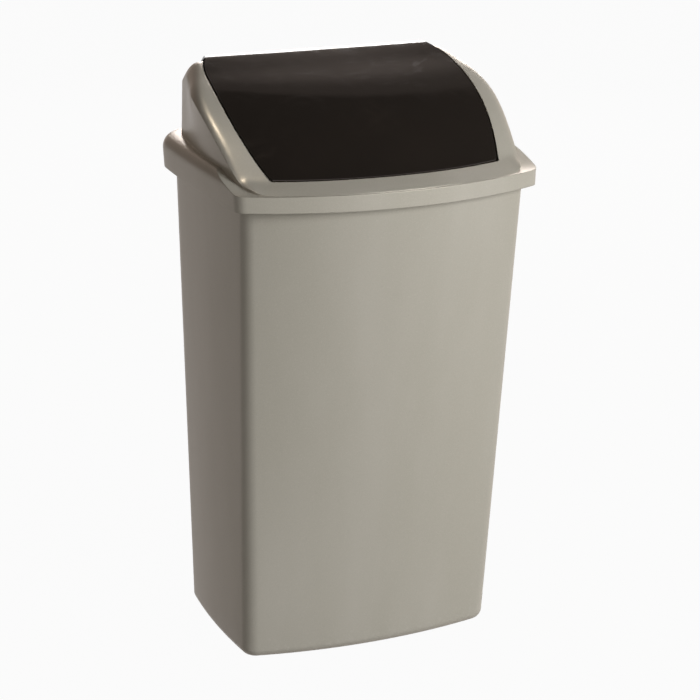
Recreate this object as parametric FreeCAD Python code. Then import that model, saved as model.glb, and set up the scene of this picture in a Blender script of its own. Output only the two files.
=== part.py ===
import FreeCAD, Part
import math
import os

# Swing-top waste bin: a tapered bin body, a lift-off lid hood and a swing flap.
# Millimetres, X to the right, Y to the back, Z up, the floor at Z = 0.

# Bin body
collar_edge_z = 541.6
body_wall = 2.6
floor_thickness = 3.2
floor_edge_radius = 12.5
inner_edge_radius = 10.0
base_half_width = 149.0
base_front_y = -80.0
base_back_y = 117.0
base_front_radius = 18.5
base_back_radius = 20.0
base_front_bow = 17.0
edge_half_width = 163.5
edge_front_y = -132.4
edge_back_y = 135.0
edge_front_radius = 20.0
edge_back_radius = 66.0
edge_front_bow = 41.4
side_bow = 5.6
back_bow = 3.0
rim_flange = 6.6
rim_thickness = 2.6
rim_lip_drop = 7.0

# Collar of the lid
lid_wall = 2.4
collar_height = 17.8
collar_half_width = 174.0
collar_front_y = -143.6
collar_back_y = 146.0
collar_front_radius = 17.0
collar_back_radius = 64.0
collar_front_bow = 42.0
flare_height = 34.0
flare_sides = 1.8
flare_back = 1.0
collar_rise = [(-150.0, 0.0), (-132.0, 2.0), (-112.0, 6.6), (-92.0, 11.6), (-75.0, 16.2), (-55.0, 22.0), (-20.0, 31.0),
               (60.0, 40.0), (175.0, 44.0)]
shoulder_rise = 2.4
shoulder_height = 15.0
shoulder_width = 12.0
shoulder_turn_share = 0.78
seat_clearance = 0.12
seat_rib_side_y = [-62.0, 4.0, 70.0]
seat_rib_back_x = [-92.0, 0.0, 92.0]

# Hood of the lid: plan outlines of the right half at the ledge and at the top of the walls
hood_top_z = 690.0
hood_base = [(0.0, -182.6), (60.0, -177.6), (108.0, -166.2), (137.0, -155.2), (148.0, -148.4),
             (155.5, -138.5), (161.0, -123.4), (164.6, -98.0), (166.0, -60.0), (165.4, -15.0),
             (163.0, 25.0), (159.8, 60.0), (155.8, 92.0), (149.5, 115.0), (136.0, 131.0),
             (110.0, 139.4), (60.0, 142.4), (0.0, 143.0)]
hood_peak = [(0.0, -182.6), (60.0, -177.6), (108.0, -166.2), (137.0, -155.2), (148.5, -148.0),
             (158.0, -137.0), (167.6, -119.0), (176.0, -92.0), (181.4, -56.0), (181.0, -15.0),
             (173.6, 20.0), (162.6, 49.0), (155.4, 76.0), (151.4, 98.0), (141.0, 117.0),
             (116.0, 127.0), (60.0, 130.4), (0.0, 131.0)]
crest_half_widths = [(-215.0, 162.0), (-150.0, 162.0), (-133.0, 163.0), (-110.0, 168.0), (-88.0, 172.0),
                     (-56.0, 176.0), (-38.0, 177.6), (-12.0, 176.6), (12.0, 172.4), (33.0, 166.0), (50.0, 160.0),
                     (75.0, 156.0), (100.0, 153.0), (165.0, 150.0)]
crest_rounds = [(-215.0, 3.0), (-150.0, 3.0), (-125.0, 6.0), (-90.0, 11.0), (-40.0, 14.0), (20.0, 17.0), (165.0, 19.0)]
crest_round_share = 0.92

# Side profiles: Y and Z at the half width where the front bow vanishes
bow_half_width = 130.0
front_bow = 26.0
bow_front_y = -130.0
bow_back_y = 74.0
slope_points = [(-210.0, 538.8), (-158.6, 559.3), (-145.0, 564.8), (-130.0, 570.8), (-124.0, 575.0), (-108.0, 587.6),
                (-83.0, 605.4), (-54.0, 622.6), (-25.0, 636.4), (7.0, 648.2), (25.0, 653.6), (42.0, 658.8)]
hood_crown = [(55.0, 662.2), (66.0, 663.4), (80.0, 660.6), (98.0, 651.0), (116.0, 636.0),
              (131.0, 616.0), (142.0, 592.0), (150.0, 560.0), (156.0, 530.0)]
flap_crown = [(51.0, 661.8), (62.0, 665.2), (73.0, 667.8), (82.0, 666.9), (92.0, 662.2),
              (105.0, 650.8), (118.0, 635.4), (131.0, 616.6), (142.0, 596.0)]
profile_floor_z = 500.0
profile_half_span = 190.0
profile_span_shares = [0.0, 0.33, 0.6, 0.72, 0.78, 0.83, 0.87, 0.905, 0.94, 1.0]

# Swing flap: plan outline of the right half
flap_side = [(130.5, -130.0), (133.6, -122.0), (138.2, -107.0), (143.6, -83.0), (147.4, -54.0), (148.5, -25.0),
             (147.8, 5.0), (146.4, 25.0), (143.9, 43.0), (138.8, 60.0), (133.4, 73.0), (130.6, 90.0), (129.6, 119.0)]
flap_thickness = 2.4
flap_corner_radius = 4.0
flap_gap = 2.0
rib_depth = 12.0
rib_front_y = -92.0
rib_back_y = 58.0

# Mouth of the hood and the pivots
mouth_flange_depth = 13.0
pivot_y = -32.0
pivot_z = 624.6
axle_radius = 3.0
axle_clearance = 0.05
axle_reach = 6.4
axle_end_gap = 1.4
ear_radius = 7.0
ear_thickness = 5.0
boss_wall = 3.6
stop_clearance = 0.3
stop_reach = 5.0
stop_end_inset = 14.0

overrun = 10.0
round_steps = 6


def vector(x, y, z):
    return FreeCAD.Vector(x, y, z)


def moved(shape, x, y, z):
    copy = shape.copy()
    copy.translate(vector(x, y, z))
    return copy


def bow_circle(half_chord, bow):
    """Radius of the circle that bows a side outwards."""
    return (half_chord ** 2 + bow ** 2) / (2 * bow)


def corner_centre(first, first_radius, second, second_radius, corner, radius):
    """Centre of the corner circle that touches two larger circles from inside."""
    reach_a = first_radius - radius
    reach_b = second_radius - radius
    line = second - first
    span = line.Length
    along = (reach_a ** 2 - reach_b ** 2 + span ** 2) / (2 * span)
    across = math.sqrt(reach_a ** 2 - along ** 2)
    line.normalize()
    side = vector(-line.y, line.x, 0)
    middle = first + line * along
    options = [middle + side * across, middle - side * across]
    return min(options, key=lambda point: (point - corner).Length)


def toward(start, through, length):
    direction = through - start
    direction.normalize()
    return start + direction * length


def plan_wire(size, z):
    """Outline of four bowed sides joined by tangent corner arcs."""
    half_width, front_y, back_y, front_radius, back_radius, bow_front, bow_side, bow_back = size
    middle_y = (front_y + back_y) / 2
    side_radius = bow_circle((back_y - front_y) / 2, bow_side)
    side_centre = vector(half_width + bow_side - side_radius, middle_y, z)
    right = []
    for y, corner_radius, bow, outward in ((front_y, front_radius, bow_front, -1), (back_y, back_radius, bow_back, 1)):
        end_radius = bow_circle(half_width, bow)
        end_middle = vector(0, y + outward * bow, z)
        end_centre = vector(0, y + outward * (bow - end_radius), z)
        corner = vector(half_width, y, z)
        centre = corner_centre(end_centre, end_radius, side_centre, side_radius, corner, corner_radius)
        end_touch = toward(end_centre, centre, end_radius)
        side_touch = toward(side_centre, centre, side_radius)
        knuckle = toward(centre, (end_touch + side_touch) / 2, corner_radius)
        right.append((end_middle, end_touch, knuckle, side_touch))
    (front_middle, front_end, front_knuckle, side_front), (back_middle, back_end, back_knuckle, side_back) = right
    side_middle = vector(half_width + bow_side, middle_y, z)
    stops = [(opposite(front_end), front_middle, front_end), (front_end, front_knuckle, side_front),
             (side_front, side_middle, side_back), (side_back, back_knuckle, back_end),
             (back_end, back_middle, opposite(back_end)),
             (opposite(back_end), opposite(back_knuckle), opposite(side_back)),
             (opposite(side_back), opposite(side_middle), opposite(side_front)),
             (opposite(side_front), opposite(front_knuckle), opposite(front_end))]
    return Part.Wire([Part.Arc(start, middle, end).toShape() for start, middle, end in stops])


def opposite(point):
    return vector(-point.x, point.y, point.z)


def size_loft(low_size, low_z, high_size, high_z):
    return Part.makeLoft([plan_wire(low_size, low_z), plan_wire(high_size, high_z)], True, True)


def mirrored(right_half):
    """Closed plan outline from the points of its right half, front middle to back middle."""
    left_half = [(-x, y) for x, y in reversed(right_half[1:-1])]
    return right_half + left_half


def chord_steps(points):
    """Running chord lengths round a closed outline, the knots of its curve."""
    steps = [0.0]
    for (x0, y0), (x1, y1) in zip(points, points[1:] + points[:1]):
        steps.append(steps[-1] + math.hypot(x1 - x0, y1 - y0))
    return steps


def closed_wire(points, z, steps):
    """Smooth closed outline through plan points, in a right and a left half."""
    curve = Part.BSplineCurve()
    curve.interpolate(Points=[vector(x, y, z) for x, y in points], PeriodicFlag=True, Parameters=steps)
    middle = steps[len(points) // 2]
    return Part.Wire([curve.toShape(steps[0], middle), curve.toShape(middle, steps[-1])])


def plan_loft(low_points, low_z, high_points, high_z):
    """Solid between two plan outlines whose points lie on straight lines."""
    steps = chord_steps(low_points)
    return Part.makeLoft([closed_wire(low_points, low_z, steps), closed_wire(high_points, high_z, steps)], True, True)


def grown(size, amount):
    """The plan sizes of an outline offset outwards by an amount."""
    half_width, front_y, back_y, front_radius, back_radius, bow_front, bow_side, bow_back = size
    return (half_width + amount, front_y - amount, back_y + amount, front_radius + amount,
            back_radius + amount, bow_front, bow_side, bow_back)


def blended(low, high, share):
    return tuple(a + (b - a) * share for a, b in zip(low, high))


def inset_points(points, amount):
    """Closed outline moved inwards along its normals."""
    result = []
    count = len(points)
    for index, (x, y) in enumerate(points):
        before = points[index - 1]
        after = points[(index + 1) % count]
        step_x = after[0] - before[0]
        step_y = after[1] - before[1]
        length = math.hypot(step_x, step_y)
        result.append((x - amount * step_y / length, y + amount * step_x / length))
    return result


def sunk_profile(profile, amount):
    """Side profile moved down along its normals."""
    result = []
    for index, (y, z) in enumerate(profile):
        before = profile[max(index - 1, 0)]
        after = profile[min(index + 1, len(profile) - 1)]
        step_y = after[0] - before[0]
        step_z = after[1] - before[1]
        length = math.hypot(step_y, step_z)
        result.append((y + amount * step_z / length, z - amount * step_y / length))
    return result


def front_shift(x, y):
    """How far the front bow carries a profile point forward."""
    fade = min(max((bow_back_y - y) / (bow_back_y - bow_front_y), 0.0), 1.0)
    return front_bow * (1 - (x / bow_half_width) ** 2) * fade


def table_value(table, place):
    """Straight-line value of a table at a place."""
    for (place_a, value_a), (place_b, value_b) in zip(table, table[1:]):
        if place_a <= place <= place_b:
            return value_a + (value_b - value_a) * (place - place_a) / (place_b - place_a)
    return table[-1][1]


def crest_drop(x, y):
    """How far the rounded crest falls below the profile near the hood's sides."""
    radius = table_value(crest_rounds, y)
    inward = abs(x) - (table_value(crest_half_widths, y) - radius)
    if inward <= 0:
        return 0.0
    share = min(inward / radius, crest_round_share)
    steep = share / math.sqrt(1 - share ** 2)
    return radius * (1 - math.sqrt(1 - share ** 2)) + steep * (inward - share * radius)


def block_under(sections):
    """Everything below a surface that is carried through crosswise point rows."""
    wires = []
    for points in sections:
        curve = Part.BSplineCurve()
        curve.interpolate(points)
        first = points[0]
        last = points[-1]
        front = vector(first.x, first.y, profile_floor_z - overrun)
        back = vector(last.x, last.y, profile_floor_z - overrun)
        wires.append(Part.Wire([curve.toShape(), Part.makeLine(last, back),
                                Part.makeLine(back, front), Part.makeLine(front, first)]))
    return Part.makeLoft(wires, True, False)


def both_ways(shares):
    """Shares of a half span, from its left end to its right end."""
    return [-share for share in reversed(shares[1:])] + shares


def under_profile(profile, drop=0.0, rounded=True):
    """Everything below a side profile, bowed forward in the middle and rounded off at the crests."""
    sections = []
    for share in both_ways(profile_span_shares):
        x = profile_half_span * share
        points = []
        for y, z in profile:
            bowed_y = y - front_shift(x, y)
            fall = crest_drop(x, bowed_y) if rounded else 0.0
            points.append(vector(x, bowed_y, max(z - drop - fall, profile_floor_z + overrun)))
        sections.append(points)
    return block_under(sections)


def flap_prism(amount):
    """Upright prism on the flap's plan outline grown by an amount."""
    right = [vector(x + amount, y, 0) for x, y in flap_side]
    right[0].y -= amount
    right[-1].y += amount
    left = [vector(-point.x, point.y, 0) for point in reversed(right)]
    front_middle = vector(0, bow_front_y - front_bow - amount, 0)
    right_curve = Part.BSplineCurve()
    right_curve.interpolate(right)
    left_curve = Part.BSplineCurve()
    left_curve.interpolate(left)
    wire = Part.Wire([Part.Arc(left[-1], front_middle, right[0]).toShape(), right_curve.toShape(),
                      Part.makeLine(right[-1], left[0]), left_curve.toShape()])
    prism = Part.Face(wire).extrude(vector(0, 0, hood_top_z))
    upright = [edge for edge in prism.Edges if abs(edge.tangentAt(edge.FirstParameter).z) > 0.99
               and edge.Vertexes[0].Y < bow_front_y / 2]
    return prism.makeFillet(flap_corner_radius + amount, upright)


def slab(front_y, back_y):
    """Full-width block between two depths."""
    corner = vector(-profile_half_span, front_y, 0)
    return Part.makeBox(2 * profile_half_span, back_y - front_y, hood_top_z, corner)


def both_sides(shape):
    return shape.fuse(shape.mirror(vector(0, 0, 0), vector(1, 0, 0)))


def rod(radius, start_x, end_x):
    return Part.makeCylinder(radius, end_x - start_x, vector(start_x, pivot_y, pivot_z), vector(1, 0, 0))


def flap_half_width(y):
    """Half width of the flap's plan outline at a depth."""
    for (x0, y0), (x1, y1) in zip(flap_side, flap_side[1:]):
        if y0 <= y <= y1:
            return x0 + (x1 - x0) * (y - y0) / (y1 - y0)
    return flap_side[-1][0]


# Bin body: tapered shell with a rolled rim
base_plan = (base_half_width, base_front_y, base_back_y, base_front_radius, base_back_radius,
             base_front_bow, side_bow, back_bow)
edge_plan = (edge_half_width, edge_front_y, edge_back_y, edge_front_radius, edge_back_radius,
             edge_front_bow, side_bow, back_bow)
seat_z = collar_edge_z + collar_height - lid_wall
rim_z = seat_z - seat_clearance


def body_plan(z):
    return blended(base_plan, edge_plan, z / collar_edge_z)


def tapered_form(low_z, high_z, edge_radius, amount):
    """Body form between two heights, grown by an amount, with a rounded lower edge."""
    wires = []
    for step in range(round_steps + 1):
        angle = math.pi / 2 * step / round_steps
        z = low_z + edge_radius * (1 - math.cos(angle))
        inset = edge_radius * (1 - math.sin(angle))
        wires.append(plan_wire(grown(body_plan(z), amount - inset), z))
    foot = Part.makeLoft(wires, True, False)
    round_z = low_z + edge_radius
    return foot.fuse(size_loft(grown(body_plan(round_z), amount), round_z, grown(body_plan(high_z), amount), high_z))


outer = tapered_form(0, rim_z, floor_edge_radius, 0)
inner = tapered_form(floor_thickness, rim_z + overrun, inner_edge_radius, -body_wall)
rim_plan = grown(body_plan(rim_z), rim_flange)
lip_z = rim_z - rim_lip_drop
rim_block = size_loft(rim_plan, lip_z, rim_plan, rim_z)
under_rim = grown(rim_plan, -rim_thickness)
rim_hollow = size_loft(under_rim, lip_z - overrun, under_rim, rim_z - rim_thickness)
bin_body = outer.fuse(rim_block.cut(rim_hollow)).cut(inner)

# Lid collar: skirt that flares into hand grips at the sides, with the ledge that sits on the rim
collar_plan = (collar_half_width, collar_front_y, collar_back_y, collar_front_radius, collar_back_radius,
               collar_front_bow, side_bow, back_bow)
flared_plan = (collar_half_width + flare_sides, collar_front_y, collar_back_y + flare_back,
               collar_front_radius + flare_sides, collar_back_radius + flare_back,
               collar_front_bow, side_bow, back_bow)
ledge_top_z = collar_edge_z + collar_height


def collar_loft(low_z, high_z, amount):
    """Slice of the flared collar between two heights, grown by an amount."""
    low = blended(collar_plan, flared_plan, (low_z - collar_edge_z) / flare_height)
    high = blended(collar_plan, flared_plan, (high_z - collar_edge_z) / flare_height)
    return size_loft(grown(low, amount), low_z, grown(high, amount), high_z)


def shoulder_form(low_z, amount, drop):
    """Collar with an elliptical shoulder, grown by an amount, its top lowered by a drop."""
    wires = []
    for step in range(round_steps + 1):
        angle = math.pi / 2 * shoulder_turn_share * step / round_steps
        height = collar_height + shoulder_rise + shoulder_height * math.sin(angle)
        inset = shoulder_width * (1 - math.cos(angle))
        plan = blended(collar_plan, flared_plan, height / flare_height)
        wires.append(plan_wire(grown(plan, amount - inset), collar_edge_z + height - drop))
    start_z = ledge_top_z + shoulder_rise - drop
    return Part.makeLoft(wires, True, False).fuse(collar_loft(low_z, start_z, amount))


rise_x = -profile_half_span - overrun
rise_curve = Part.BSplineCurve()
rise_curve.interpolate(Points=[vector(rise_x, y, ledge_top_z + rise) for y, rise in collar_rise],
                       InitialTangent=vector(0, 1, 0), FinalTangent=vector(0, 1, 0))
rise_start = rise_curve.StartPoint
rise_end = rise_curve.EndPoint
ledge_front = vector(rise_x, slope_points[0][0], ledge_top_z)
foot_front = vector(rise_x, ledge_front.y, profile_floor_z)
foot_back = vector(rise_x, rise_end.y, profile_floor_z)
rise_wire = Part.Wire([rise_curve.toShape(), Part.makeLine(rise_end, foot_back), Part.makeLine(foot_back, foot_front),
                       Part.makeLine(foot_front, ledge_front), Part.makeLine(ledge_front, rise_start)])
rise_block = Part.Face(rise_wire).extrude(vector(-2 * rise_x, 0, 0))
collar_form = shoulder_form(collar_edge_z, 0, 0).common(rise_block)
under_rise = moved(rise_block, 0, 0, -lid_wall)
collar_hollow = shoulder_form(collar_edge_z - overrun, -lid_wall, lid_wall).common(under_rise)

# Lid hood: walls, sloping top and the mouth for the flap
hood_low = mirrored(hood_base)
hood_high = mirrored(hood_peak)
hood_profile = slope_points + hood_crown
hood_form = plan_loft(hood_low, seat_z, hood_high, hood_top_z).common(under_profile(hood_profile))
hollow_share = overrun / (hood_top_z - seat_z)
hollow_low = [blended(low, high, -hollow_share) for low, high in zip(hood_low, hood_high)]
hollow_walls = plan_loft(inset_points(hollow_low, lid_wall), seat_z - overrun,
                         inset_points(hood_high, lid_wall), hood_top_z)
hood_hollow = hollow_walls.common(under_profile(hood_profile, lid_wall))

# Seat ribs between the collar and the hood's walls, standing on the body's rim
seat_zone = collar_hollow.common(moved(slab(-hood_top_z, hood_top_z), 0, 0, seat_z)).cut(hollow_walls)
rib_plates = [slab(y, y + lid_wall) for y in seat_rib_side_y]
rib_plates += [Part.makeBox(lid_wall, hood_top_z, hood_top_z, vector(x - lid_wall / 2, 0, 0)) for x in seat_rib_back_x]
seat_ribs = seat_zone.common(rib_plates[0].fuse(rib_plates[1:]))

# Flap form, whose back edge sets the stop in the hood
flap_profile = slope_points + flap_crown
flap_over = under_profile(flap_profile, 0.0, False)
flap_under = under_profile(sunk_profile(flap_profile, flap_thickness), 0.0, False)
flap_outline = flap_prism(0)
sheet = flap_outline.common(flap_over).cut(flap_under)
flap_back_x, flap_back_y = flap_side[-1]
back_edge_z = sheet.common(slab(flap_back_y - axle_clearance, flap_back_y)).optimalBoundingBox().ZMin

flange_plate = flap_prism(flap_gap + lid_wall).common(under_profile(hood_profile, lid_wall / 2))
flange_plate = flange_plate.cut(under_profile(hood_profile, mouth_flange_depth))
pivot_half_width = flap_half_width(pivot_y)
mouth_half_width = pivot_half_width + flap_gap
bore_radius = axle_radius + axle_clearance
axle_end = mouth_half_width + axle_reach
bore_end = axle_end + axle_end_gap
boss = both_sides(rod(bore_radius + boss_wall, mouth_half_width, bore_end + boss_wall)).common(hood_form)
bore = both_sides(rod(bore_radius, pivot_half_width, bore_end))
stop_half_width = flap_back_x - stop_end_inset
stop_depth = stop_reach + flap_gap + lid_wall
stop_corner = vector(-stop_half_width, flap_back_y - stop_reach, back_edge_z - stop_clearance - lid_wall)
stop = Part.makeBox(2 * stop_half_width, stop_depth, lid_wall, stop_corner)
lid_hood = collar_form.cut(collar_hollow).fuse(hood_form).cut(hood_hollow)
lid_hood = lid_hood.fuse(flange_plate).cut(flap_prism(flap_gap))
lid_hood = lid_hood.fuse([boss, stop, seat_ribs]).cut(bore)

# Swing flap: saddle-shaped sheet with side ribs and moulded stub axles
rib_ring = flap_outline.cut(flap_prism(-flap_thickness))
rib_zone = flap_over.cut(under_profile(flap_profile, rib_depth, False)).common(slab(rib_front_y, rib_back_y))
ribs = rib_ring.common(rib_zone)
ears = both_sides(rod(ear_radius, pivot_half_width - ear_thickness, pivot_half_width)).common(flap_over)
axles = both_sides(rod(axle_radius, pivot_half_width - ear_thickness, axle_end))
swing_flap = sheet.fuse([ribs, ears, axles])

# The frame's origin is the middle of the whole bin on the floor
collar_box = collar_form.optimalBoundingBox()
centre_shift = -(collar_box.YMin + collar_box.YMax) / 2
print("shift", centre_shift, "pivot", pivot_y + centre_shift, pivot_z)

os.makedirs("parts", exist_ok=True)
pieces = (("bin_body", bin_body.removeSplitter()), ("lid_hood", lid_hood), ("swing_flap", swing_flap.removeSplitter()))
for name, shape in pieces:
    whole = moved(shape, 0, centre_shift, 0)
    for solid in whole.Solids:
        print(name, solid.isValid(), round(solid.Volume), solid.CenterOfMass)
    whole.exportStep("parts/" + name + ".step")
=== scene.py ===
"""Swing-top waste bin: finishes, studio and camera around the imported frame."""

import logging
import math
from dataclasses import dataclass, field
from enum import Enum
from typing import Any

import bpy
import numpy as np
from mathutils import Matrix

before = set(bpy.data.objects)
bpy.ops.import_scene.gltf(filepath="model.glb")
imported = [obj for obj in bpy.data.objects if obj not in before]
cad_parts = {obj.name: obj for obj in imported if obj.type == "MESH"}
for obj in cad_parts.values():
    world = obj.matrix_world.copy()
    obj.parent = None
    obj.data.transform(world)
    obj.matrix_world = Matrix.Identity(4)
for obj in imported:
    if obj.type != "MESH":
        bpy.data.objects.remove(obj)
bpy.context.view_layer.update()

LOG = logging.getLogger("waste_bin")
MILLIMETRE = 0.001

# Blender's Mix node has sockets of the same names for floats and for colours, so they go by number.
SHARE = 0
FLOAT_A, FLOAT_B, FLOAT_MIX = 2, 3, 0
COLOUR_A, COLOUR_B, COLOUR_MIX = 6, 7, 2

# Blender's Wave texture multiplies its scale by this number.
WAVE_FACTOR = 20.0

Band = tuple[float, float]
Point = tuple[float, float, float]


class Body(Enum):
    """Rigid bodies of the frame."""

    BIN = "bin"
    LID = "lid"
    FLAP = "flap"


class Rays(Enum):
    """Kinds of rays that Light Path tells apart."""

    CAMERA = "Is Camera Ray"
    GLOSSY = "Is Glossy Ray"
    TRANSMITTED = "Is Transmission Ray"


def linear_colour(hex_code: str) -> tuple[float, float, float, float]:
    """Turns an sRGB hex colour into linear light.

    Args:
        hex_code: Colour as "#rrggbb".

    Returns:
        Linear red, green, blue and an alpha of one.
    """
    parts = np.array([int(hex_code[i:i + 2], 16) for i in (1, 3, 5)]) / 255.0
    light = np.where(parts <= 0.04045, parts / 12.92, ((parts + 0.055) / 1.055) ** 2.4)
    return float(light[0]), float(light[1]), float(light[2]), 1.0


def add_node(tree: bpy.types.NodeTree, kind: str, settings: dict[str, Any] | None = None,
             inputs: dict[str | int, Any] | None = None) -> bpy.types.Node:
    """Adds a node, sets its options, and sets or links its inputs.

    Args:
        tree: Node tree that takes the node.
        kind: Blender's identifier of the node.
        settings: Options by attribute name.
        inputs: Values, or sockets to link from, by input name or index.

    Returns:
        The new node.
    """
    node = tree.nodes.new(kind)
    for name, value in (settings or {}).items():
        setattr(node, name, value)
    for name, value in (inputs or {}).items():
        if isinstance(value, bpy.types.NodeSocket):
            tree.links.new(value, node.inputs[name])
        else:
            node.inputs[name].default_value = value
    return node


def per_metre(size_mm: float) -> float:
    """Texture scale whose pattern repeats about every size_mm millimetres."""
    return 1.0 / (size_mm * MILLIMETRE)


def new_material(name: str) -> tuple[bpy.types.Material, bpy.types.NodeTree, bpy.types.Node]:
    """Makes an empty node material.

    Args:
        name: Name of the material.

    Returns:
        The material, its node tree and its output node.
    """
    material = bpy.data.materials.new(name)
    material.use_nodes = True
    material.node_tree.nodes.clear()
    return material, material.node_tree, add_node(material.node_tree, "ShaderNodeOutputMaterial")


@dataclass(frozen=True)
class PearlPolypropylene:
    """Injection-moulded polypropylene with a fine pearl pigment.

    The pigment gives a warm silver with a soft sheen, the mould's spark-eroded skin breaks up the gloss, and
    the melt leaves faint broad flow marks that run up the walls. Light scuffs lie near the foot, and sharp
    edges catch the light as if they had a small radius.
    """

    name: str = "polypropylene_moulded_pearl_silver"
    colour: str = "#b4b1a7"
    flow_colour: str = "#aeaba0"
    flake_colour: str = "#c2bfb5"
    scuff_colour: str = "#c5c2ba"
    metallic: float = 0.11
    ior: float = 1.49
    specular_level: float = 0.08
    specular_tint: str = "#ffd8ba"
    roughness_low: float = 0.27
    roughness_high: float = 0.37
    roughness_band: Band = (0.3, 0.7)
    coat: float = 0.06
    coat_roughness: float = 0.22
    flow_mm: float = 85.0
    flow_stretch: float = 0.22
    flow_detail: float = 3.0
    flow_band: Band = (0.35, 0.65)
    flake_mm: float = 1.1
    flake_detail: float = 2.0
    flake_grit: float = 0.7
    flake_band: Band = (0.5, 0.8)
    flake_amount: float = 0.55
    skin_mm: float = 1.6
    skin_detail: float = 3.0
    skin_strength: float = 0.35
    skin_height_mm: float = 0.03
    scuff_mm: float = 7.0
    scuff_detail: float = 6.0
    scuff_grit: float = 0.75
    scuff_band: Band = (0.52, 0.72)
    scuff_amount: float = 0.7
    scuff_reach_mm: float = 34.0
    edge_mm: float = 1.4
    edge_samples: int = 6

    def pigment(self, tree: bpy.types.NodeTree, place: bpy.types.NodeSocket,
                flake: bpy.types.Node) -> bpy.types.NodeSocket:
        """Mixes the flow marks and the pearl flakes into the plain colour.

        Args:
            tree: Node tree of the material.
            place: Object coordinates.
            flake: Noise of the flakes.

        Returns:
            Colour of the clean plastic.
        """
        stretched = add_node(tree, "ShaderNodeMapping", inputs={
            "Vector": place, "Scale": (1.0, 1.0, self.flow_stretch)})
        flow = add_node(tree, "ShaderNodeTexNoise", inputs={
            "Vector": stretched.outputs["Vector"], "Scale": per_metre(self.flow_mm),
            "Detail": self.flow_detail})
        flow_share = add_node(tree, "ShaderNodeMapRange", inputs={
            "Value": flow.outputs["Fac"], "From Min": self.flow_band[0], "From Max": self.flow_band[1]})
        flowed = add_node(tree, "ShaderNodeMix", {"data_type": "RGBA"}, {
            SHARE: flow_share.outputs["Result"],
            COLOUR_A: linear_colour(self.colour), COLOUR_B: linear_colour(self.flow_colour)})
        flake_share = add_node(tree, "ShaderNodeMapRange", inputs={
            "Value": flake.outputs["Fac"], "From Min": self.flake_band[0], "From Max": self.flake_band[1],
            "To Max": self.flake_amount})
        flaked = add_node(tree, "ShaderNodeMix", {"data_type": "RGBA"}, {
            SHARE: flake_share.outputs["Result"],
            COLOUR_A: flowed.outputs[COLOUR_MIX], COLOUR_B: linear_colour(self.flake_colour)})
        return flaked.outputs[COLOUR_MIX]

    def scuffed(self, tree: bpy.types.NodeTree, place: bpy.types.NodeSocket,
                clean: bpy.types.NodeSocket) -> bpy.types.NodeSocket:
        """Adds light scuffs that fade out above the foot.

        Args:
            tree: Node tree of the material.
            place: Object coordinates.
            clean: Colour of the clean plastic.

        Returns:
            Colour of the worn plastic.
        """
        scuff = add_node(tree, "ShaderNodeTexNoise", inputs={
            "Vector": place, "Scale": per_metre(self.scuff_mm), "Detail": self.scuff_detail,
            "Roughness": self.scuff_grit})
        height = add_node(tree, "ShaderNodeSeparateXYZ", inputs={"Vector": place})
        near_foot = add_node(tree, "ShaderNodeMapRange", inputs={
            "Value": height.outputs["Z"], "From Max": self.scuff_reach_mm * MILLIMETRE,
            "To Min": 1.0, "To Max": 0.0})
        worn = add_node(tree, "ShaderNodeMapRange", inputs={
            "Value": scuff.outputs["Fac"], "From Min": self.scuff_band[0], "From Max": self.scuff_band[1],
            "To Max": self.scuff_amount})
        share = add_node(tree, "ShaderNodeMath", {"operation": "MULTIPLY"}, {
            0: near_foot.outputs["Result"], 1: worn.outputs["Result"]})
        coloured = add_node(tree, "ShaderNodeMix", {"data_type": "RGBA"}, {
            SHARE: share.outputs["Value"], COLOUR_A: clean, COLOUR_B: linear_colour(self.scuff_colour)})
        return coloured.outputs[COLOUR_MIX]

    def relief(self, tree: bpy.types.NodeTree, place: bpy.types.NodeSocket) -> bpy.types.NodeSocket:
        """Shades sharp edges as small radii and adds the mould's fine skin.

        Args:
            tree: Node tree of the material.
            place: Object coordinates.

        Returns:
            Normal of the moulded surface.
        """
        skin = add_node(tree, "ShaderNodeTexNoise", inputs={
            "Vector": place, "Scale": per_metre(self.skin_mm), "Detail": self.skin_detail})
        edge = add_node(tree, "ShaderNodeBevel", {"samples": self.edge_samples}, {
            "Radius": self.edge_mm * MILLIMETRE})
        bump = add_node(tree, "ShaderNodeBump", inputs={
            "Height": skin.outputs["Fac"], "Normal": edge.outputs["Normal"], "Strength": self.skin_strength,
            "Distance": self.skin_height_mm * MILLIMETRE})
        return bump.outputs["Normal"]

    def material(self) -> bpy.types.Material:
        """Builds the node material; flakes and skin are drawn coarser than real so that they show.

        Returns:
            The finish of the bin and the lid.
        """
        material, tree, output = new_material(self.name)
        place = add_node(tree, "ShaderNodeTexCoord").outputs["Object"]
        flake = add_node(tree, "ShaderNodeTexNoise", inputs={
            "Vector": place, "Scale": per_metre(self.flake_mm), "Detail": self.flake_detail,
            "Roughness": self.flake_grit})
        roughness = add_node(tree, "ShaderNodeMapRange", inputs={
            "Value": flake.outputs["Fac"],
            "From Min": self.roughness_band[0], "From Max": self.roughness_band[1],
            "To Min": self.roughness_low, "To Max": self.roughness_high})
        shader = add_node(tree, "ShaderNodeBsdfPrincipled", inputs={
            "Base Color": self.scuffed(tree, place, self.pigment(tree, place, flake)),
            "Roughness": roughness.outputs["Result"], "Normal": self.relief(tree, place),
            "Metallic": self.metallic, "IOR": self.ior, "Specular IOR Level": self.specular_level,
            "Specular Tint": linear_colour(self.specular_tint),
            "Coat Weight": self.coat, "Coat Roughness": self.coat_roughness})
        tree.links.new(shader.outputs["BSDF"], output.inputs["Surface"])
        return material


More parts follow.
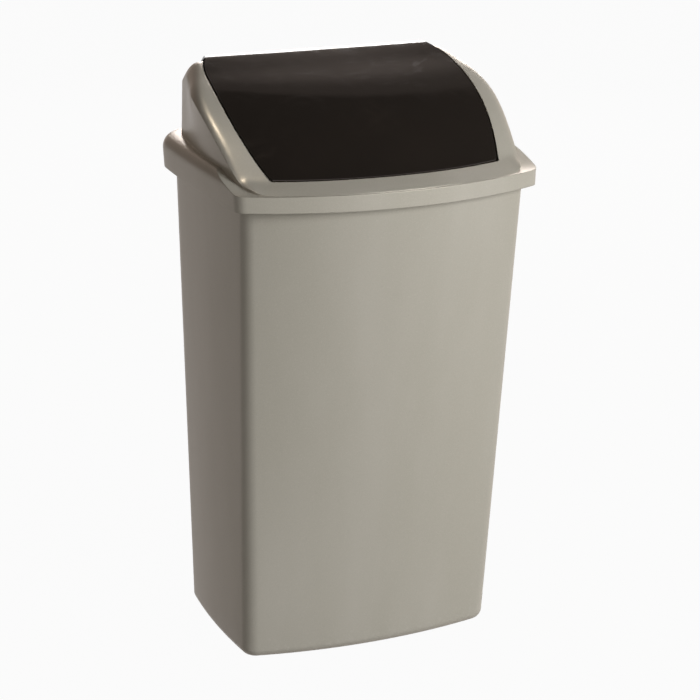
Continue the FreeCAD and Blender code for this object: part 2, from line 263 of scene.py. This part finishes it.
@dataclass(frozen=True)
class PolishedStyrene:
    """Injection-moulded polystyrene from a polished mould, black with a brown cast.

    It mirrors the studio softly, with faint swirls that a wiping cloth leaves in the polish and a rubbed
    patch where hands push the flap.
    """

    name: str = "polystyrene_polished_black_brown"
    colour: str = "#1e1b18"
    cast_colour: str = "#26211d"
    smudge_colour: str = "#2d2823"
    ior: float = 1.55
    specular_tint: str = "#fff0e8"
    roughness_low: float = 0.07
    roughness_high: float = 0.17
    roughness_band: Band = (0.45, 0.75)
    coat: float = 0.12
    coat_roughness: float = 0.05
    cast_mm: float = 120.0
    cast_detail: float = 2.0
    swirl_mm: float = 46.0
    swirl_detail: float = 4.0
    swirl_turn: float = 2.6
    wipe_mm: float = 2.4
    wipe_turn: float = 9.0
    wipe_detail: float = 3.0
    wipe_detail_scale: float = 1.4
    wipe_strength: float = 0.25
    wipe_height_mm: float = 0.004
    smudge_place: Point = (0.004, -0.048, 0.598)
    smudge_reach_mm: float = 52.0
    smudge_mm: float = 24.0
    smudge_detail: float = 3.0
    smudge_turn: float = 1.8
    smudge_band: Band = (0.46, 0.66)

    def smudged(self, tree: bpy.types.NodeTree, place: bpy.types.NodeSocket) -> bpy.types.NodeSocket:
        """Mixes the cast into the plain colour and lightens the rubbed patch.

        Args:
            tree: Node tree of the material.
            place: Object coordinates.

        Returns:
            Colour of the used plastic.
        """
        cast = add_node(tree, "ShaderNodeTexNoise", inputs={
            "Vector": place, "Scale": per_metre(self.cast_mm), "Detail": self.cast_detail})
        plain = add_node(tree, "ShaderNodeMix", {"data_type": "RGBA"}, {
            SHARE: cast.outputs["Fac"],
            COLOUR_A: linear_colour(self.colour), COLOUR_B: linear_colour(self.cast_colour)})
        apart = add_node(tree, "ShaderNodeVectorMath", {"operation": "DISTANCE"}, {
            0: place, 1: self.smudge_place})
        near = add_node(tree, "ShaderNodeMapRange", {"interpolation_type": "SMOOTHSTEP"}, {
            "Value": apart.outputs["Value"], "From Max": self.smudge_reach_mm * MILLIMETRE,
            "To Min": 1.0, "To Max": 0.0})
        streak = add_node(tree, "ShaderNodeTexNoise", inputs={
            "Vector": place, "Scale": per_metre(self.smudge_mm), "Detail": self.smudge_detail,
            "Distortion": self.smudge_turn})
        rubbed = add_node(tree, "ShaderNodeMapRange", inputs={
            "Value": streak.outputs["Fac"], "From Min": self.smudge_band[0], "From Max": self.smudge_band[1]})
        share = add_node(tree, "ShaderNodeMath", {"operation": "MULTIPLY"}, {
            0: near.outputs["Result"], 1: rubbed.outputs["Result"]})
        coloured = add_node(tree, "ShaderNodeMix", {"data_type": "RGBA"}, {
            SHARE: share.outputs["Value"],
            COLOUR_A: plain.outputs[COLOUR_MIX], COLOUR_B: linear_colour(self.smudge_colour)})
        return coloured.outputs[COLOUR_MIX]

    def wiped(self, tree: bpy.types.NodeTree, place: bpy.types.NodeSocket) -> bpy.types.NodeSocket:
        """Adds the rings that a wiping cloth leaves.

        Args:
            tree: Node tree of the material.
            place: Object coordinates.

        Returns:
            Normal of the wiped surface.
        """
        wipe = add_node(tree, "ShaderNodeTexWave", {"wave_type": "RINGS", "rings_direction": "SPHERICAL"}, {
            "Vector": place, "Scale": per_metre(self.wipe_mm) / WAVE_FACTOR, "Distortion": self.wipe_turn,
            "Detail": self.wipe_detail, "Detail Scale": self.wipe_detail_scale})
        bump = add_node(tree, "ShaderNodeBump", inputs={
            "Height": wipe.outputs["Fac"], "Strength": self.wipe_strength,
            "Distance": self.wipe_height_mm * MILLIMETRE})
        return bump.outputs["Normal"]

    def material(self) -> bpy.types.Material:
        """Builds the node material; the wiping marks are drawn coarser than real so that they show.

        Returns:
            The finish of the flap.
        """
        material, tree, output = new_material(self.name)
        place = add_node(tree, "ShaderNodeTexCoord").outputs["Object"]
        swirl = add_node(tree, "ShaderNodeTexNoise", inputs={
            "Vector": place, "Scale": per_metre(self.swirl_mm), "Detail": self.swirl_detail,
            "Distortion": self.swirl_turn})
        roughness = add_node(tree, "ShaderNodeMapRange", inputs={
            "Value": swirl.outputs["Fac"],
            "From Min": self.roughness_band[0], "From Max": self.roughness_band[1],
            "To Min": self.roughness_low, "To Max": self.roughness_high})
        shader = add_node(tree, "ShaderNodeBsdfPrincipled", inputs={
            "Base Color": self.smudged(tree, place), "Roughness": roughness.outputs["Result"],
            "Normal": self.wiped(tree, place), "IOR": self.ior,
            "Specular Tint": linear_colour(self.specular_tint),
            "Coat Weight": self.coat, "Coat Roughness": self.coat_roughness})
        tree.links.new(shader.outputs["BSDF"], output.inputs["Surface"])
        return material


@dataclass
class Moulding:
    """One moulded piece of the bin, shown by its own CAD node."""

    node: str
    body: Body
    weld_mm: float = 0.005
    crease_deg: float = 32.0

    def build(self) -> bpy.types.Object:
        """Joins the node's loose triangles by modifiers and shades curved walls smoothly.

        Returns:
            The node's object, unmoved.
        """
        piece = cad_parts[self.node]
        faces = piece.data.polygons
        faces.foreach_set("use_smooth", np.ones(len(faces), dtype=bool))
        weld = piece.modifiers.new("joined_triangles", "WELD")
        weld.merge_threshold = self.weld_mm * MILLIMETRE
        crease = piece.modifiers.new("creased_edges", "EDGE_SPLIT")
        crease.split_angle = math.radians(self.crease_deg)
        LOG.info("%s: %d triangles on body %s", self.node, len(faces), self.body.value)
        return piece

    def dress(self, piece: bpy.types.Object, material: bpy.types.Material) -> None:
        """Gives the piece its finish.

        Args:
            piece: Object of the CAD node.
            material: Finish of the whole piece.
        """
        piece.data.materials.clear()
        piece.data.materials.append(material)
        LOG.info("%s: finish %s", self.node, material.name)


@dataclass
class BinBody(Moulding):
    """The tapered shell with its foot and rim."""

    node: str = "bin_body"
    body: Body = Body.BIN


@dataclass
class LidHood(Moulding):
    """The collar, shoulder and hood around the mouth."""

    node: str = "lid_hood"
    body: Body = Body.LID


@dataclass
class SwingFlap(Moulding):
    """The saddle-shaped flap on its stub axles."""

    node: str = "swing_flap"
    body: Body = Body.FLAP


def ray_share(tree: bpy.types.NodeTree, kinds: tuple[Rays, ...]) -> bpy.types.NodeSocket:
    """Tells the rays that show the background from those that light the bin.

    Args:
        tree: Node tree of the floor or the world.
        kinds: Rays to pick out.

    Returns:
        One for the rays of these kinds, else zero.
    """
    path = add_node(tree, "ShaderNodeLightPath")
    share = path.outputs[kinds[0].value]
    for kind in kinds[1:]:
        either = add_node(tree, "ShaderNodeMath", {"operation": "MAXIMUM"}, {
            0: share, 1: path.outputs[kind.value]})
        share = either.outputs["Value"]
    return share


@dataclass
class Lamp:
    """A square soft box that faces a point on the bin; it may give highlights alone."""

    name: str
    place: Point
    aim: Point
    side: float
    power: float
    colour: str = "#ffffff"
    highlight_only: bool = False

    def build(self) -> None:
        """Adds the lamp and turns it to its aim."""
        data = bpy.data.lights.new(self.name, "AREA")
        data.shape = "SQUARE"
        data.size = self.side
        data.energy = self.power
        data.color = linear_colour(self.colour)[:3]
        lamp = bpy.data.objects.new(self.name, data)
        lamp.location = self.place
        way = lamp.location.copy()
        way.x, way.y, way.z = (goal - start for goal, start in zip(self.aim, self.place))
        lamp.rotation_euler = way.to_track_quat("-Z", "Y").to_euler()
        lamp.visible_diffuse = not self.highlight_only
        bpy.context.scene.collection.objects.link(lamp)


@dataclass
class Studio:
    """Pale floor, soft light and the photograph's camera."""

    floor_half: float = 14.0
    floor_colour: str = "#75726d"
    floor_whiteness: float = 0.96
    backdrop_colour: str = "#fcfcfc"
    room_colour: str = "#fff0e6"
    bright_level: float = 0.94
    left_level: float = 0.28
    left_band: Band = (-0.75, 0.35)
    overhead_way: Point = (0.12, -0.20, 0.97)
    overhead_level: float = 0.05
    overhead_band: Band = (0.655, 0.685)
    fade_band: Band = (0.14, 0.60)
    fade_share: float = 0.16
    camera_place: Point = (-0.93836, -2.30266, 1.12233)
    camera_yaw_deg: float = 22.25
    camera_pitch_deg: float = 17.56
    lens_mm: float = 117.25
    sensor_mm: float = 36.0
    lamps: list[Lamp] = field(default_factory=lambda: [
        Lamp("soft_box_front_right", (1.45, -2.8, 1.5), (0.0, 0.0, 0.46), 1.7, 102.0),
        Lamp("soft_box_high_front", (0.75, -1.0, 2.1), (0.0, -0.16, 0.56), 0.4, 24.0, highlight_only=True),
        Lamp("soft_box_left_top", (-0.62, 0.3, 2.5), (-0.15, -0.05, 0.6), 0.3, 20.0, "#fff0dc", True),
        Lamp("soft_box_rear_right", (1.2, 2.6, 1.4), (0.0, 0.0, 0.4), 1.5, 48.0),
    ])

    def build_floor(self) -> None:
        """Lays a square floor, white where it is seen or mirrored but for the bin's shadow."""
        corners = np.array([(-1, -1), (1, -1), (1, 1), (-1, 1)], dtype=float) * self.floor_half
        places = np.column_stack([corners, np.zeros(len(corners))])
        mesh = bpy.data.meshes.new("studio_floor")
        mesh.from_pydata(places.tolist(), [], [(0, 1, 2, 3)])
        material, tree, output = new_material("studio_floor_paper")
        paper = add_node(tree, "ShaderNodeBsdfDiffuse", inputs={"Color": linear_colour(self.floor_colour)})
        white = add_node(tree, "ShaderNodeEmission", inputs={"Strength": 1.0})
        share = add_node(tree, "ShaderNodeMath", {"operation": "MULTIPLY"}, {
            0: ray_share(tree, tuple(Rays)), 1: self.floor_whiteness})
        surface = add_node(tree, "ShaderNodeMixShader", inputs={
            SHARE: share.outputs["Value"], 1: paper.outputs["BSDF"], 2: white.outputs["Emission"]})
        tree.links.new(surface.outputs["Shader"], output.inputs["Surface"])
        mesh.materials.append(material)
        floor = bpy.data.objects.new("studio_floor", mesh)
        bpy.context.scene.collection.objects.link(floor)

    def build_world(self) -> None:
        """Sets a white room that fades upward to a dark ceiling and gives less light from the left."""
        world = bpy.data.worlds.new("white_room")
        bpy.context.scene.world = world
        world.use_nodes = True
        tree = world.node_tree
        tree.nodes.clear()
        way = add_node(tree, "ShaderNodeTexCoord").outputs["Generated"]
        parts = add_node(tree, "ShaderNodeSeparateXYZ", inputs={"Vector": way})
        sides = add_node(tree, "ShaderNodeMapRange", {"interpolation_type": "SMOOTHSTEP"}, {
            "Value": parts.outputs["X"], "From Min": self.left_band[0], "From Max": self.left_band[1],
            "To Min": self.left_level, "To Max": self.bright_level})
        upward = add_node(tree, "ShaderNodeVectorMath", {"operation": "DOT_PRODUCT"}, {
            0: way, 1: self.overhead_way})
        fade = add_node(tree, "ShaderNodeMapRange", inputs={
            "Value": upward.outputs["Value"], "From Min": self.fade_band[0], "From Max": self.fade_band[1],
            "To Min": 1.0, "To Max": self.fade_share})
        above = add_node(tree, "ShaderNodeMapRange", {"interpolation_type": "SMOOTHSTEP"}, {
            "Value": upward.outputs["Value"],
            "From Min": self.overhead_band[0], "From Max": self.overhead_band[1]})
        room = add_node(tree, "ShaderNodeMix", {"data_type": "FLOAT"}, {
            SHARE: above.outputs["Result"], FLOAT_A: fade.outputs["Result"], FLOAT_B: self.overhead_level})
        level = add_node(tree, "ShaderNodeMath", {"operation": "MULTIPLY"}, {
            0: sides.outputs["Result"], 1: room.outputs[FLOAT_MIX]})
        seen = ray_share(tree, (Rays.CAMERA,))
        strength = add_node(tree, "ShaderNodeMath", {"operation": "MAXIMUM"}, {
            0: seen, 1: level.outputs["Value"]})
        colour = add_node(tree, "ShaderNodeMix", {"data_type": "RGBA"}, {
            SHARE: seen,
            COLOUR_A: linear_colour(self.room_colour), COLOUR_B: linear_colour(self.backdrop_colour)})
        background = add_node(tree, "ShaderNodeBackground", inputs={
            "Color": colour.outputs[COLOUR_MIX], "Strength": strength.outputs["Value"]})
        output = add_node(tree, "ShaderNodeOutputWorld")
        tree.links.new(background.outputs["Background"], output.inputs["Surface"])

    def build_camera(self) -> None:
        """Places the camera at the photograph's angle, with its focus on everything."""
        data = bpy.data.cameras.new("photo_camera")
        data.sensor_width = self.sensor_mm
        data.lens = self.lens_mm
        camera = bpy.data.objects.new("photo_camera", data)
        camera.location = self.camera_place
        tilt = math.radians(90.0 - self.camera_pitch_deg)
        camera.rotation_euler = (tilt, 0.0, -math.radians(self.camera_yaw_deg))
        bpy.context.scene.collection.objects.link(camera)
        bpy.context.scene.camera = camera

    def build(self) -> None:
        """Builds the whole studio."""
        self.build_floor()
        self.build_world()
        self.build_camera()
        for lamp in self.lamps:
            lamp.build()
        bpy.context.scene.view_settings.view_transform = "Standard"
        LOG.info("studio: floor, white room, camera and %d soft boxes", len(self.lamps))


def main() -> None:
    """Dresses the three mouldings and sets up the studio."""
    logging.basicConfig(level=logging.INFO, format="%(name)s: %(message)s")
    silver = PearlPolypropylene().material()
    black = PolishedStyrene().material()
    for moulding, material in ((BinBody(), silver), (LidHood(), silver), (SwingFlap(), black)):
        moulding.dress(moulding.build(), material)
    Studio().build()


if __name__ == "__main__":
    main()
